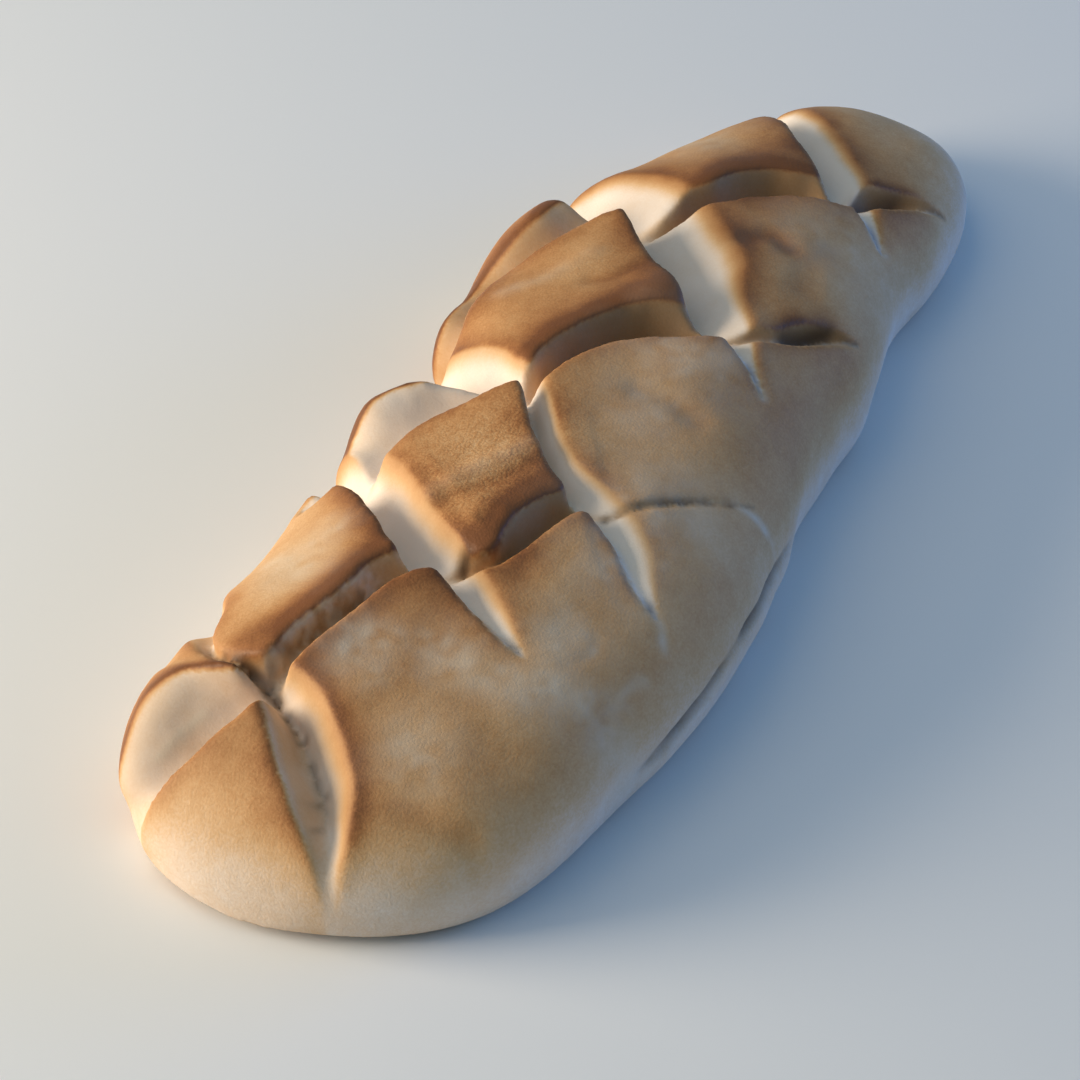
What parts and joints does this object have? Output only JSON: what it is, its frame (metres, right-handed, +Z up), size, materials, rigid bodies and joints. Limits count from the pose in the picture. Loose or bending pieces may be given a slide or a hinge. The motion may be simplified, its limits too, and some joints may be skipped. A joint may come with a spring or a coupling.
{
  "type": "bread loaf",
  "caption": "Long, low loaf of crusty bread with a flat base, slashed criss-cross before baking so that the crust stands up in raised, curled plates.",
  "frame": {"origin": "centre of the loaf's bounding box in plan, on the plane of its flat base", "axes": "+X along the loaf toward its slimmer end, +Y to the loaf's left, +Z up from the base"},
  "size_m": [0.3206, 0.1142, 0.0495],
  "materials": {
    "crust": "baked bread crust: matt golden brown on the raised plates, pale cream in the opened slashes"
  },
  "bodies": {
    "root": {"loaf": "crust"}
  },
  "joints": []
}
